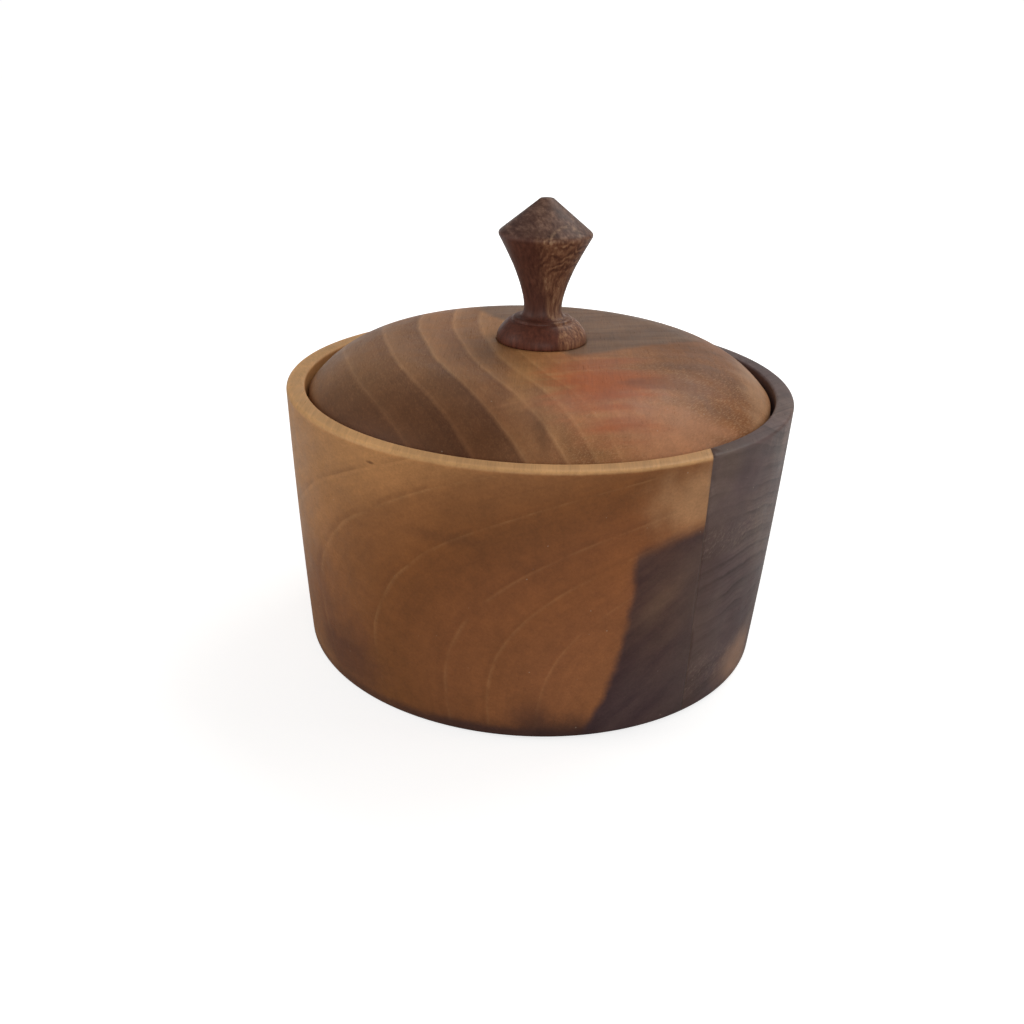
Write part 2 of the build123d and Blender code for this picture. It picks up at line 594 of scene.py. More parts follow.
class WoodFinish:
    """What the four oiled woods have in common.

    Attributes:
        name: The material's name.
        roughness: How dull the oiled surface is.
        sheen: How strongly it reflects.
        fibre_contrast: How far the fibres change the tone, as a share of it.
        pore_depth: How dark the open pores are, 0 to 1.
        speck: How strong the pale dust is, 0 to 1.
        edges: The edges drawn paler, worn by hands and given a painted highlight.
        depth_low: Least ring depth on the ramp of tones, in mm.
        depth_high: Greatest ring depth on it.
        pore_tint: What the pores multiply the colour by.
        worn_and_highlight_tint: What worn edges with their painted highlight multiply it by.
        dust: Colour of the pale dust.
        index: Refractive index of the oil.
        relief: Height of the surface's relief, in metres.
        relief_strength: How strongly the relief shows.
    """

    name: str = "wood"
    roughness: float = 0.5
    sheen: float = 0.35
    fibre_contrast: float = 0.07
    pore_depth: float = 0.25
    speck: float = 0.34
    edges: tuple[Edge, ...] = ()
    depth_low: float = 0.0
    depth_high: float = 1.0
    pore_tint: Colour = (0.42, 0.36, 0.34)
    worn_and_highlight_tint: Colour = (1.32, 1.3, 1.27)
    dust: Colour = srgb(196, 176, 154)
    index: float = 1.46
    relief: float = 0.00012
    relief_strength: float = 0.35

    def __init__(self, effects: EffectBook) -> None:
        """Keeps the shared groups."""
        self.effects = effects

    def at(self, depth: float) -> float:
        """Place of a ring depth on the ramp of tones."""
        return (depth - self.depth_low) / (self.depth_high - self.depth_low)

    def colour(self, b: NodeBench, point: Socket) -> tuple[Socket, Socket]:
        """The wood's own colour.

        Args:
            b: The material's bench.
            point: Object coordinates in mm.

        Returns:
            The colour, and Point with its Z along the fibres.
        """
        raise NotImplementedError

    def banded(
        self, b: NodeBench, base: Socket, depth: Socket, spacing: float, seed: float, dark: float
    ) -> Socket:
        """Lays faint yearly rings over a colour.

        Args:
            b: The material's bench.
            base: The colour beneath.
            depth: The ring depth.
            spacing: The rings' mean width, in mm.
            seed: Which random rings.
            dark: How much darker the late wood is, as a share.

        Returns:
            The colour with its rings.
        """
        bands = b.place(self.effects.bands, Depth=depth, Spacing=spacing, Seed=seed)
        late = b.spread(bands["Late"], 0, 1, 0.01, -dark)
        return b.toned(base, b.total(1.0, late, b.spread(bands["Tone"], 0, 1, -0.02, 0.02)))

    def patches(
        self,
        b: NodeBench,
        point: Socket,
        base: Socket,
        blobs: Sequence[Blob],
        wander: Socket | None = None,
    ) -> Socket:
        """Lays soft patches over a colour.

        Args:
            b: The material's bench.
            point: Object coordinates in mm.
            base: The colour beneath.
            blobs: The patches.
            wander: What makes their outlines uneven, around 0; None for a plain unevenness.

        Returns:
            The colour with its patches.
        """
        wander = b.waver(point, 0.09, 0.22) if wander is None else wander
        for blob in blobs:
            away = b.turned(b.vector("SUBTRACT", point, blob.centre), blob.turn)
            distance = b.total(b.vector("LENGTH", b.vector("DIVIDE", away, blob.reach)), wander)
            base = b.blend(b.times(b.step(distance, 1.2, 0.2), blob.strength), base, blob.colour)
        return base

    def build(self) -> bpy.types.Material:
        """Makes the material.

        Returns:
            The finished material.
        """
        material = bpy.data.materials.new(self.name)
        material.use_nodes = True
        tree = material.node_tree
        tree.nodes.clear()
        b = NodeBench(tree)
        point = b.vector("SCALE", b.add("TexCoord").outputs["Object"], 1000.0)
        colour, along = self.colour(b, point)
        fibres = b.place(self.effects.fibres, Point=along)
        handling = b.place(self.effects.handling, Point=point)
        turning = b.place(self.effects.turning, Point=point)
        swing = self.fibre_contrast
        streak = b.spread(fibres["Streak"], 0.25, 0.75, 1 - 2 * swing, 1 + 2 * swing)
        shimmer = b.spread(fibres["Shimmer"], 0.3, 0.7, 1 - swing, 1 + swing)
        patch = b.spread(handling["Patch"], 0.3, 0.7, 0.9, 1.1)
        mottle = b.spread(handling["Smear"], 0.3, 0.7, 0.93, 1.07)
        tone = b.times(streak, shimmer, b.times(patch, mottle))
        colour = b.toned(colour, tone)
        colour = b.tinted(b.times(fibres["Pore"], self.pore_depth), colour, self.pore_tint)
        # Paler turned edges: partly worn by hands, partly a painted highlight.
        for edge in self.edges:
            where = {"Radius": edge.radius, "Height": edge.height, "Reach": edge.reach}
            wear_and_highlight = b.place(self.effects.wear_and_highlight, Point=point, **where)
            colour = b.tinted(b.times(wear_and_highlight["Near"], edge.strength), colour, self.worn_and_highlight_tint)
        colour = b.blend(b.times(handling["Speck"], self.speck), colour, self.dust)
        rough = b.total(self.roughness, b.spread(handling["Smear"], 0.3, 0.7, -0.06, 0.07))
        rough = b.total(rough, b.times(fibres["Pore"], 0.12))
        shader = b.add("BsdfPrincipled")
        b.feed(shader.inputs["Base Color"], colour)
        b.feed(shader.inputs["Roughness"], rough)
        shader.inputs["IOR"].default_value = self.index
        shader.inputs["Specular IOR Level"].default_value = self.sheen
        height = b.total(b.times(turning["Height"], 0.5), b.times(fibres["Streak"], 0.35))
        height = b.minus(height, b.times(fibres["Pore"], 0.5))
        bump = b.add("Bump")
        bump.inputs["Strength"].default_value = self.relief_strength
        bump.inputs["Distance"].default_value = self.relief
        b.feed(bump.inputs["Height"], height)
        b.feed(shader.inputs["Normal"], bump.outputs["Normal"])
        out = b.add("OutputMaterial")
        b.feed(out.inputs["Surface"], shader.outputs["BSDF"])
        return material


class PaleBoardWood(WoodFinish):
    """Honey-brown board: nested arcs on its front, and a dark corner of heartwood by the glue line."""

    name = "bowl_pale_wood"
    roughness = 0.52
    fibre_contrast = 0.065
    edges = (Edge(79.7, 85.8, 1.8, 0.45), Edge(74.6, 85.8, 1.3, 0.3))
    depth_low = -30.0
    depth_high = 110.0
    heading: float = math.radians(159.42)
    bend: float = 0.01216
    shift: float = -21.87
    tones: tuple[Stop, ...] = (
        (-30, srgb(152, 94, 52)),
        (3, srgb(150, 91, 51)),
        (17, srgb(146, 88, 47)),
        (31, srgb(140, 84, 45)),
        (45, srgb(133, 80, 40)),
        (54, srgb(136, 83, 41)),
        (66, srgb(148, 95, 52)),
        (72, srgb(156, 103, 59)),
        (79, srgb(176, 122, 74)),
        (92, srgb(186, 133, 83)),
        (110, srgb(188, 136, 86)),
    )
    lines: tuple[Point2, ...] = ((3.0, 0.35), (18.4, 0.6), (31.1, 0.5), (53.9, 0.6), (73.6, 1.0), (86.5, 0.8))
    colour_patches: tuple[Blob, ...] = (
        Blob((45.0, -66.0, 75.0), (19.0, 40.0, 13.0), srgb(190, 141, 98), 0.85),
        Blob((1.0, -78.0, 6.0), (9.0, 30.0, 9.0), srgb(78, 48, 38), 0.65),
        Blob((11.0, -78.0, 3.5), (13.0, 30.0, 7.0), srgb(74, 48, 40), 0.75),
        Blob((-18.0, -78.0, 2.0), (26.0, 30.0, 6.0), srgb(84, 54, 40), 0.5),
        Blob((-66.0, -34.0, 18.0), (32.0, 44.0, 30.0), srgb(126, 75, 49), 0.55),
        Blob((-54.0, -52.0, 12.0), (15.0, 26.0, 13.0), srgb(84, 50, 40), 0.55),
        Blob((-22.0, -76.0, 64.0), (15.0, 20.0, 2.4), srgb(108, 66, 36), 0.4),
        Blob((-44.5, -65.5, 81.0), (1.5, 3.0, 0.5), srgb(88, 50, 26), 0.7),
    )
    foot: Colour = srgb(70, 45, 41)
    # Colour of the rim top: worn paler, with a painted highlight.
    rim_wear_and_highlight: Colour = srgb(210, 162, 109)
    heart: tuple[Stop, ...] = ((0.0, srgb(84, 58, 51)), (0.5, srgb(97, 70, 58)), (1.0, srgb(109, 81, 65)))
    heart_right: Colour = srgb(90, 72, 68)
    light_line: Colour = srgb(200, 146, 94)
    dark_line: Colour = srgb(92, 50, 24)

    def colour(self, b: NodeBench, point: Socket) -> tuple[Socket, Socket]:
        """The board's colour; see WoodFinish.colour."""
        x, y, z = b.parts(point)
        behind = self._behind(b, y)
        lifted = b.minus(z, b.times(behind, 0.28))
        along = b.join(b.total(x, b.times(behind, 0.3)), lifted, y)
        rings = {"Heading": self.heading, "Bend": self.bend, "Shift": self.shift, "Waver": 0.4}
        depth = b.place(self.effects.rings, Point=along, **rings)["Depth"]
        place = b.spread(depth, self.depth_low, self.depth_high)
        base = b.ramp(place, [(self.at(d), c) for d, c in self.tones])
        base = self._ring_lines(b, along, place, base)
        base = self.banded(b, base, depth, 3.4, 3.0, 0.025)
        base = b.tinted(b.step(z, 60.0, 6.0), base, (1.0, 1.06, 1.18))
        base = self.patches(b, point, base, self.colour_patches)
        # Darker band round the foot, weaker to the left: painted shade where the rounded foot turns down.
        foot = b.step(b.total(z, b.waver(point, 0.06, 0.9)), 5.4, 2.4)
        foot = b.times(foot, b.spread(x, -60.0, -10.0, 0.45, 0.9))
        base = b.blend(foot, base, self.foot)
        # Paler rim top: partly worn by hands, partly a painted highlight where the top catches the light.
        rim = b.step(b.total(z, b.waver(point, 0.2, 0.12)), 84.7, 85.7)
        base = b.blend(b.times(rim, 0.85), base, self.rim_wear_and_highlight)
        streaks = b.drawn_grain(b.turned(along, 38.0), (0.035, 0.17, 0.02))
        dark = b.ramp(b.spread(streaks, 0.32, 0.68), self.heart)
        dark = b.tinted(b.step(z, 46.0, 10.0), dark, (0.62, 0.66, 0.95))
        dark = b.blend(b.times(b.step(x, 36.0, 47.0), 0.55), dark, self.heart_right)
        heart, border = self._heartwood(b, point)
        dark = b.tinted(b.times(border, 0.8), dark, (0.72, 0.62, 0.68))
        base = b.blend(heart, base, dark)
        glue = b.times(b.step(x, 46.75, 47.05), 0.5)
        return b.tinted(glue, base, (0.5, 0.45, 0.42)), along

    @staticmethod
    def _behind(b: NodeBench, y: Socket) -> Socket:
        """How far back a point lies from where the rings begin to bend away, in mm."""
        return b.positive(b.total(y, 20.0))

    def _ring_lines(self, b: NodeBench, along: Socket, place: Socket, base: Socket) -> Socket:
        """Draws thin light lines, each with a dark side, that fade in and out along the rings.

        Args:
            b: The material's bench.
            along: Point with its Z along the fibres.
            place: Ring depth as a place on the ramp.
            base: The colour beneath.

        Returns:
            The colour with its lines.
        """

        def grey(value: float) -> Colour:
            """A grey of a linear value."""
            return (value, value, value)

        stops: list[Stop] = [(0.0, grey(0.5))]
        for middle, light in self.lines:
            stops.append((self.at(middle - 1.3), grey(0.5)))
            stops.append((self.at(middle - 0.1), grey(0.5 + 0.5 * light)))
            stops.append((self.at(middle + 0.5), grey(0.5 - 0.4 * light)))
            stops.append((self.at(middle + 2.6), grey(0.5)))
        line = b.minus(b.ramp(place, stops), 0.5)
        line = b.times(line, b.spread(b.grain(along, 0.08, 4.0, 0.6), 0.37, 0.62, 0.0, 0.95))
        base = b.blend(b.positive(line), base, self.light_line)
        return b.blend(b.positive(b.times(line, -1.0)), base, self.dark_line)

    def _heartwood(self, b: NodeBench, point: Socket) -> tuple[Socket, Socket]:
        """Where the dark heartwood lies: low down beside the glue line.

        Args:
            b: The material's bench.
            point: Object coordinates in mm.

        Returns:
            Its mask, and the mask of its darker border.
        """
        x, y, z = b.parts(point)
        behind = self._behind(b, y)
        x = b.total(x, b.times(behind, 0.14))
        z = b.total(z, b.times(behind, 0.2))
        flat = b.join(x, z, b.times(y, 0.1))
        dip = b.positive(b.minus(1.0, b.over(z, 52.0)))
        left = b.minus(27.9, b.times(dip, dip, 12.0))
        side = b.total(b.minus(x, left), b.waver(flat, 0.12, 1.0, 4.0))
        run = b.minus(x, 28.5)
        rise = b.minus(b.times(run, 0.42), b.times(run, run, 0.006))
        top = b.total(b.minus(b.total(59.6, rise), z), b.waver(flat, 0.06, 1.6, 4.0))
        heart = b.times(b.step(side, -1.6, 1.6), b.step(top, -3.2, 2.4))
        inward = b.math("SMOOTH_MIN", side, b.times(top, 0.8), 3.0)
        return heart, b.step(inward, 8.0, 0.5)


class DarkBoardWood(WoodFinish):
    """Purple-grey heartwood board with faint slanting rings and pale streaks below the rim."""

    name = "bowl_dark_wood"
    roughness = 0.5
    sheen = 0.3
    fibre_contrast = 0.04
    edges = (Edge(79.7, 85.8, 1.6, 0.3), Edge(74.6, 85.8, 1.2, 0.25))
    heading: float = math.radians(114.0)
    bend: float = 0.006
    shift: float = -6.0
    tones: tuple[Stop, ...] = ((0.0, srgb(84, 65, 66)), (0.5, srgb(98, 79, 77)), (1.0, srgb(112, 93, 86)))
    beside_glue: Colour = srgb(90, 68, 60)
    ray: Colour = srgb(150, 128, 112)
    glue: Colour = srgb(128, 106, 92)
    colour_patches: tuple[Blob, ...] = (
        Blob((66.0, -38.0, 8.0), (15.0, 17.0, 13.0), srgb(166, 128, 104), 0.75),
        Blob((51.0, -60.0, 82.0), (7.0, 9.0, 12.0), srgb(116, 96, 84), 0.5),
    )

    def colour(self, b: NodeBench, point: Socket) -> tuple[Socket, Socket]:
        """The board's colour; see WoodFinish.colour."""
        x, y, z = b.parts(point)
        along = b.join(x, z, y)
        spun = b.join(b.total(x, b.times(y, 0.6)), z, b.times(y, 0.5))
        rings = {"Heading": self.heading, "Bend": self.bend, "Shift": self.shift, "Waver": 1.3}
        depth = b.place(self.effects.rings, Point=spun, **rings)["Depth"]
        bands = b.place(self.effects.bands, Depth=depth, Spacing=6.5, Seed=11.0)
        broad = b.drawn_grain(along, (0.05, 0.035, 0.012))
        base = b.ramp(b.spread(broad, 0.32, 0.68), self.tones)
        fine = b.place(self.effects.bands, Depth=depth, Spacing=2.1, Seed=5.0)
        fade = b.spread(b.grain(point, 0.05), 0.4, 0.6)
        ring = b.total(
            b.spread(bands["Late"], 0, 1, 0.07, -0.2),
            b.spread(bands["Tone"], 0, 1, -0.06, 0.06),
            b.spread(fine["Late"], 0, 1, 0.04, -0.1),
        )
        front = b.spread(y, -40.0, 10.0, 1.0, 0.45)
        ring = b.times(ring, b.times(b.total(fade, 0.3), front))
        base = b.toned(base, b.total(1.0, ring))
        upright = b.grain(b.join(b.minus(x, y), b.times(z, 0.07), 3.0), 0.5, 4.0, 0.62)
        upper = b.times(b.step(z, 58.0, 82.0), b.spread(b.grain(point, 0.045), 0.42, 0.6, 0.35, 1.1))
        upper = b.times(upper, front)
        stripes = b.times(b.spread(upright, 0.38, 0.62, -0.28, 0.34), upper)
        base = b.toned(base, b.total(1.0, stripes))
        base = b.tinted(b.step(z, 40.0, 4.0), base, (0.84, 0.82, 0.86))
        near = b.times(b.step(x, 58.0, 47.5), b.step(z, 72.0, 60.0))
        base = b.blend(b.times(near, 0.6), base, self.beside_glue)
        base = self.patches(b, point, base, self.colour_patches)
        fleck = b.place(self.effects.flecks, Point=b.join(b.total(x, z), b.minus(z, x), y), Fineness=1.1)
        low = b.times(b.step(z, 24.0, 14.0), b.step(z, 4.0, 10.0))
        middle = b.times(b.step(z, 52.0, 57.0), b.step(z, 66.0, 60.0))
        where = b.times(b.total(low, middle), b.step(y, -16.0, -44.0))
        base = b.blend(b.times(fleck["Fleck"], where, 0.3), base, self.ray)
        line = b.times(b.step(x, 47.35, 47.15), 0.35)
        return b.blend(line, base, self.glue), along


class LidWood(WoodFinish):
    """The lid's board: long rings down the left, a red heart in front, a grey stain behind the knob."""

    name = "lid_wood"
    roughness = 0.5
    sheen = 0.3
    fibre_contrast = 0.06
    edges = (Edge(72.6, 84.2, 2.6, 0.5),)
    depth_low = -80.0
    depth_high = 100.0
    heading: float = math.pi
    bend: float = 0.00331
    shift: float = -32.06
    tones: tuple[Stop, ...] = (
        (-80, srgb(138, 86, 44)),
        (-35, srgb(138, 86, 44)),
        (-6, srgb(174, 119, 75)),
        (-2.4, srgb(182, 126, 80)),
        (-1.8, srgb(191, 136, 87)),
        (-1.0, srgb(173, 118, 73)),
        (4.6, srgb(182, 127, 79)),
        (5.3, srgb(192, 138, 88)),
        (6.2, srgb(171, 117, 71)),
        (12.0, srgb(179, 126, 78)),
        (12.8, srgb(189, 136, 87)),
        (13.8, srgb(162, 111, 67)),
        (20.0, srgb(171, 121, 76)),
        (20.8, srgb(185, 135, 89)),
        (21.7, srgb(144, 97, 60)),
        (28.8, srgb(158, 111, 72)),
        (29.8, srgb(179, 131, 89)),
        (30.7, srgb(142, 96, 63)),
        (40.0, srgb(167, 118, 78)),
        (41.0, srgb(180, 133, 92)),
        (42.0, srgb(131, 90, 61)),
        (52.2, srgb(152, 109, 74)),
        (53.2, srgb(171, 127, 90)),
        (54.2, srgb(133, 93, 64)),
        (66.6, srgb(150, 109, 76)),
        (67.6, srgb(164, 123, 88)),
        (68.6, srgb(139, 100, 70)),
        (100, srgb(154, 114, 82)),
    )
    colour_patches: tuple[Blob, ...] = (
        Blob((-5.0, -38.0, 94.0), (5.0, 26.0, 40.0), srgb(182, 130, 78), 0.45),
        Blob((30.0, -57.0, 90.0), (32.0, 18.0, 40.0), srgb(190, 132, 94), 0.75),
        Blob((17.0, -44.0, 94.0), (19.0, 27.0, 40.0), srgb(170, 81, 32), 0.8),
        Blob((14.0, -24.0, 94.0), (20.0, 12.0, 40.0), srgb(162, 93, 55), 0.6),
        Blob((37.0, -37.0, 94.0), (17.0, 4.5, 40.0), srgb(116, 72, 48), 0.55, 14.0),
        Blob((46.0, -20.0, 94.0), (16.0, 5.0, 40.0), srgb(124, 84, 58), 0.4, 8.0),
        Blob((1.0, -65.0, 90.0), (3.0, 12.0, 40.0), srgb(104, 68, 42), 0.5, 12.0),
        # Painted light: the right shoulder drawn paler, where it faces the light.
        Blob((67.0, -10.0, 86.0), (10.0, 34.0, 14.0), srgb(196, 152, 114), 0.6),
    )
    stain: tuple[Stop, ...] = ((0.0, srgb(110, 80, 60)), (1.0, srgb(134, 102, 77)))
    stain_turn: float = 20.0
    ray: Colour = srgb(208, 162, 118)
    pale_fibre: Colour = srgb(190, 146, 104)

    def colour(self, b: NodeBench, point: Socket) -> tuple[Socket, Socket]:
        """The lid's colour; see WoodFinish.colour."""
        x, y, z = b.parts(point)
        along = b.join(x, z, y)
        flat = b.join(x, y, b.times(z, 1.5))
        rings = {"Heading": self.heading, "Bend": self.bend, "Shift": self.shift, "Waver": 0.45}
        depth = b.place(self.effects.rings, Point=flat, **rings)["Depth"]
        depth = b.total(depth, b.times(b.minus(98.0, z), 0.2))
        place = b.spread(depth, self.depth_low, self.depth_high)
        base = b.ramp(place, [(self.at(d), c) for d, c in self.tones])
        base = self.banded(b, base, depth, 2.7, 7.0, 0.045)
        base = self._right_side(b, point, base)
        # Darker front-left shoulder: partly darker wood, partly painted shade where the shoulder faces away
        # from the light.
        front_tone_and_shade = b.total(b.times(x, -0.35), b.times(y, -0.94), b.waver(point, 0.05, 3.0))
        front_tone_and_shade = b.times(b.step(front_tone_and_shade, 38.0, 66.0), b.step(x, 6.0, -16.0))
        base = b.tinted(front_tone_and_shade, base, (0.5, 0.4, 0.33))
        slanted = b.turned(point, self.stain_turn)
        wander = b.waver(b.vector("MULTIPLY", slanted, (0.3, 1.7, 1.0)), 0.09, 0.42, 4.0)
        base = self.patches(b, point, base, self.colour_patches, wander)
        streaks = b.drawn_grain(slanted, (0.03, 0.22, 0.1))
        stain = b.ramp(b.spread(streaks, 0.34, 0.66), self.stain)
        return b.blend(b.times(self._stain(b, point), 0.95), base, stain), along

    def _right_side(self, b: NodeBench, point: Socket, base: Socket) -> Socket:
        """Broad smoky streaks and short pale dashes on the right of the lid.

        Args:
            b: The material's bench.
            point: Object coordinates in mm.
            base: The colour beneath.

        Returns:
            The colour with its streaks and dashes.
        """
        x, y, _ = b.parts(point)
        right = b.step(b.total(x, b.waver(point, 0.05, 4.0)), -6.0, 16.0)
        smoky = b.drawn_grain(b.turned(point, 14.0), (0.022, 0.11, 0.06))
        base = b.toned(base, b.total(1.0, b.times(b.spread(smoky, 0.34, 0.66, -0.2, 0.14), right)))
        fleck = b.place(self.effects.flecks, Point=b.turned(point, 52.0), Fineness=2.7)
        share = b.times(fleck["Fleck"], right, b.step(y, 12.0, -30.0))
        base = b.blend(b.times(share, 0.3), base, self.ray)
        fibre = b.place(self.effects.flecks, Point=b.turned(point, 100.0), Fineness=2.0)
        share = b.times(fibre["Fleck"], 0.2, b.minus(1.0, right))
        return b.blend(share, base, self.pale_fibre)

    def _stain(self, b: NodeBench, point: Socket) -> Socket:
        """Where the grey heart lies, behind the knob.

        Args:
            b: The material's bench.
            point: Object coordinates in mm.

        Returns:
            The mask's socket.
        """
        x, y, _ = b.parts(point)

        def inside(ax: float, ay: float, offset: float) -> Socket:
            """Distance inside one straight edge."""
            return b.total(b.times(x, ax), b.times(y, ay), offset)

        depth = inside(1.0, 0.0, 23.0)
        for edge in (inside(0.874, 0.487, 1.4), inside(-0.555, 0.832, 20.8)):
            depth = b.math("SMOOTH_MIN", depth, edge, 6.0)
        mask = b.step(b.total(depth, b.waver(b.join(x, y, 0.0), 0.07, 1.2)), -1.4, 2.6)
        streaky = b.vector("MULTIPLY", b.turned(point, self.stain_turn), (0.4, 1.6, 1.0))
        end = b.step(b.total(inside(-1.0, 0.05, 49.0), b.waver(streaky, 0.1, 3.5, 4.0)), -7.0, 5.0)
        return b.times(mask, end)


class KnobWood(WoodFinish):
    """The knob's spindle: dark red-brown to the left, paler and streaked to the right."""

    name = "knob_wood"
    roughness = 0.48
    sheen = 0.3
    fibre_contrast = 0.07
    pore_depth = 0.45
    speck = 0.1
    edges = (Edge(14.3, 131.8, 0.9, 0.5), Edge(10.2, 105.1, 0.7, 0.4), Edge(2.1, 142.1, 0.9, 0.4))
    dark: tuple[Stop, ...] = ((0.0, srgb(72, 42, 34)), (1.0, srgb(102, 62, 50)))
    pale: tuple[Stop, ...] = (
        (0.0, srgb(74, 44, 34)),
        (0.4, srgb(112, 74, 55)),
        (0.75, srgb(142, 104, 78)),
        (1.0, srgb(176, 140, 108)),
    )
    cone: tuple[Stop, ...] = ((0.0, srgb(54, 32, 27)), (0.45, srgb(88, 62, 53)), (1.0, srgb(138, 108, 92)))
    bright: Colour = srgb(188, 152, 120)

    def colour(self, b: NodeBench, point: Socket) -> tuple[Socket, Socket]:
        """The knob's colour; see WoodFinish.colour."""
        x, y, z = b.parts(point)
        along = b.vector("SCALE", point, 1.6)
        lean = b.times(b.positive(b.minus(z, 104.0)), 0.18)
        sway = b.times(b.waver(b.join(x, y, b.times(z, 0.4)), 0.2, 1.0), b.spread(z, 104, 126, 0.5, 3.0))
        split = b.total(x, lean, sway, b.times(b.step(z, 107.5, 105.0), -2.9))
        streaks = b.drawn_grain(point, (1.0, 1.0, 0.09), 5.0, 0.66)
        dark = b.ramp(b.spread(streaks, 0.32, 0.68), self.dark)
        waves, near = self._knot(b, point)
        calm = b.times(b.minus(0.46, streaks), b.times(near, 0.5))
        figure = b.total(streaks, calm, waves)
        pale = b.ramp(b.spread(figure, 0.31, 0.70), self.pale)
        share = b.step(b.over(b.minus(split, 2.3), b.spread(z, 108, 122, 0.6, 3.6)), -1.0, 1.0)
        red = b.tinted(b.step(z, 108.0, 104.0), dark, (1.2, 0.98, 0.84))
        pale = b.tinted(b.step(z, 107.0, 104.0), pale, (1.25, 1.18, 1.08))
        base = b.blend(share, red, pale)
        mottled = b.drawn_grain(b.turned(point, 30.0), (0.55, 0.2, 0.5), 5.0, 0.72)
        mottled = b.total(mottled, b.times(waves, 0.8))
        cone = b.ramp(b.spread(mottled, 0.32, 0.68), self.cone)
        base = b.blend(b.times(b.step(z, 130.5, 133.5), 0.8), base, cone)
        return b.blend(b.times(self._eye(b, point), 0.6), base, self.bright), along

    @staticmethod
    def _eye(b: NodeBench, point: Socket) -> Socket:
        """A small pale arc with a row of beads under it, at the widest edge of the head's right.

        Args:
            b: The material's bench.
            point: Object coordinates in mm.

        Returns:
            The mask's socket.
        """
        x, y, z = b.parts(point)
        around = b.distance(b.join(x, 0.0, z), (5.9, 0.0, 131.6), (4.4, 1.0, 3.6))
        around = b.total(around, b.waver(point, 0.3, 0.1))
        arc = b.times(b.step(around, 0.84, 0.97), b.step(around, 1.18, 1.0))
        arc = b.times(arc, b.spread(b.grain(point, 0.9, 3.0), 0.4, 0.6, 0.1, 1.0))
        arc = b.times(arc, b.step(z, 131.4, 132.6))
        beads = b.step(b.cells(b.vector("MULTIPLY", point, (1.0, 0.6, 0.7)), 0.6), 0.46, 0.16)
        band = b.times(b.step(z, 129.0, 130.2), b.step(z, 132.4, 131.4))
        reach = b.times(b.step(x, -4.0, 1.0), b.step(x, 13.0, 9.0))
        eye = b.math("MAXIMUM", b.times(arc, 0.6), b.times(beads, b.times(band, reach)))
        return b.times(eye, b.step(y, 0.0, -5.0))

    @staticmethod
    def _knot(b: NodeBench, point: Socket) -> tuple[Socket, Socket]:
        """Wavy figure round a pin knot under the head's right side.

        Args:
            b: The material's bench.
            point: Object coordinates in mm.

        Returns:
            What it adds to the streaks, around 0, and where it lies.
        """
        x, y, z = b.parts(point)
        away = b.distance(point, (6.0, -8.0, 127.0), (12.0, 12.0, 7.5))
        near = b.step(b.total(away, b.waver(point, 0.2, 0.2)), 1.3, 0.5)
        aside = b.minus(x, 7.0)
        bow = b.times(aside, aside, 0.05)
        level = b.total(z, bow, b.waver(b.join(x, y, b.times(z, 0.6)), 0.26, 1.7))
        wave = b.math("SINE", b.times(level, 2.7))
        strong = b.spread(b.grain(point, 0.34), 0.36, 0.6, 0.03, 0.14)
        return b.times(wave, strong, near), near


@dataclass
class TurnedPiece:
    """A piece turned on a lathe: a half section, spun round the upright axis.

    Attributes:
        name: The object's name.
        slot: The record's material slot; not used.
        node: The solid that it stands for.
        body: The body that it moves with.
        steps: Facets round the axis.
    """

    name: str
    slot: str
    node: str
    body: Body
    steps: int = 256

    def section(self) -> list[Point2]:
        """The half section's corners, radius and height in mm, in order."""
        raise NotImplementedError

    @staticmethod
    def arc(centre: Point2, radius: float, start: float, end: float, count: int) -> list[Point2]:
        """Points along an arc of the section.

        Args:
            centre: Its centre.
            radius: Its radius.
            start: First angle in degrees from +R.
            end: Last angle.
            count: How many points.

        Returns:
            The points, both ends included.
        """
        turns = [math.radians(start + (end - start) * k / (count - 1)) for k in range(count)]
        return [(centre[0] + radius * math.cos(t), centre[1] + radius * math.sin(t)) for t in turns]

    @staticmethod
    def between(start: Point2, end: Point2, count: int) -> list[Point2]:
        """Evenly spaced points strictly between two others.

        Args:
            start: Where the run starts.
            end: Where it ends.
            count: How many points.

        Returns:
            The points, both ends left out.
        """
        shares = [k / (count + 1) for k in range(1, count + 1)]
        return [(start[0] + (end[0] - start[0]) * t, start[1] + (end[1] - start[1]) * t) for t in shares]

    def spin(self) -> bmesh.types.BMesh:
        """Spins the half section into a closed shell.

        Returns:
            The shell, in metres, its faces outwards.
        """
        shell = bmesh.new()
        spots = [shell.verts.new((r * MM, 0.0, z * MM)) for r, z in self.section()]
        edges = [shell.edges.new(pair) for pair in zip(spots, spots[1:])]
        bmesh.ops.spin(
            shell, geom=spots + edges, cent=(0, 0, 0), axis=(0, 0, 1), angle=math.tau,
            steps=self.steps, use_merge=True, use_duplicate=False,
        )
        bmesh.ops.remove_doubles(shell, verts=shell.verts, dist=WELD)
        bmesh.ops.recalc_face_normals(shell, faces=shell.faces)
        return shell

    def finish_piece(self, shell: bmesh.types.BMesh, material: bpy.types.Material) -> bpy.types.Object:
        """Makes the object and ties it to the frame.

        Args:
            shell: The mesh; it is freed.
            material: Its finish.

        Returns:
            The object.
        """
        mesh = bpy.data.meshes.new(self.name)
        for face in shell.faces:
            face.smooth = True
        shell.to_mesh(mesh)
        shell.free()
        mesh.materials.append(material)
        piece = bpy.data.objects.new(self.name, mesh)
        bpy.context.scene.collection.objects.link(piece)
        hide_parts(self.node)
        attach(piece, self.body.value)
        return piece

    def make(self, material: bpy.types.Material) -> bpy.types.Object:
        """Spins and dresses the piece."""
        return self.finish_piece(self.spin(), material)


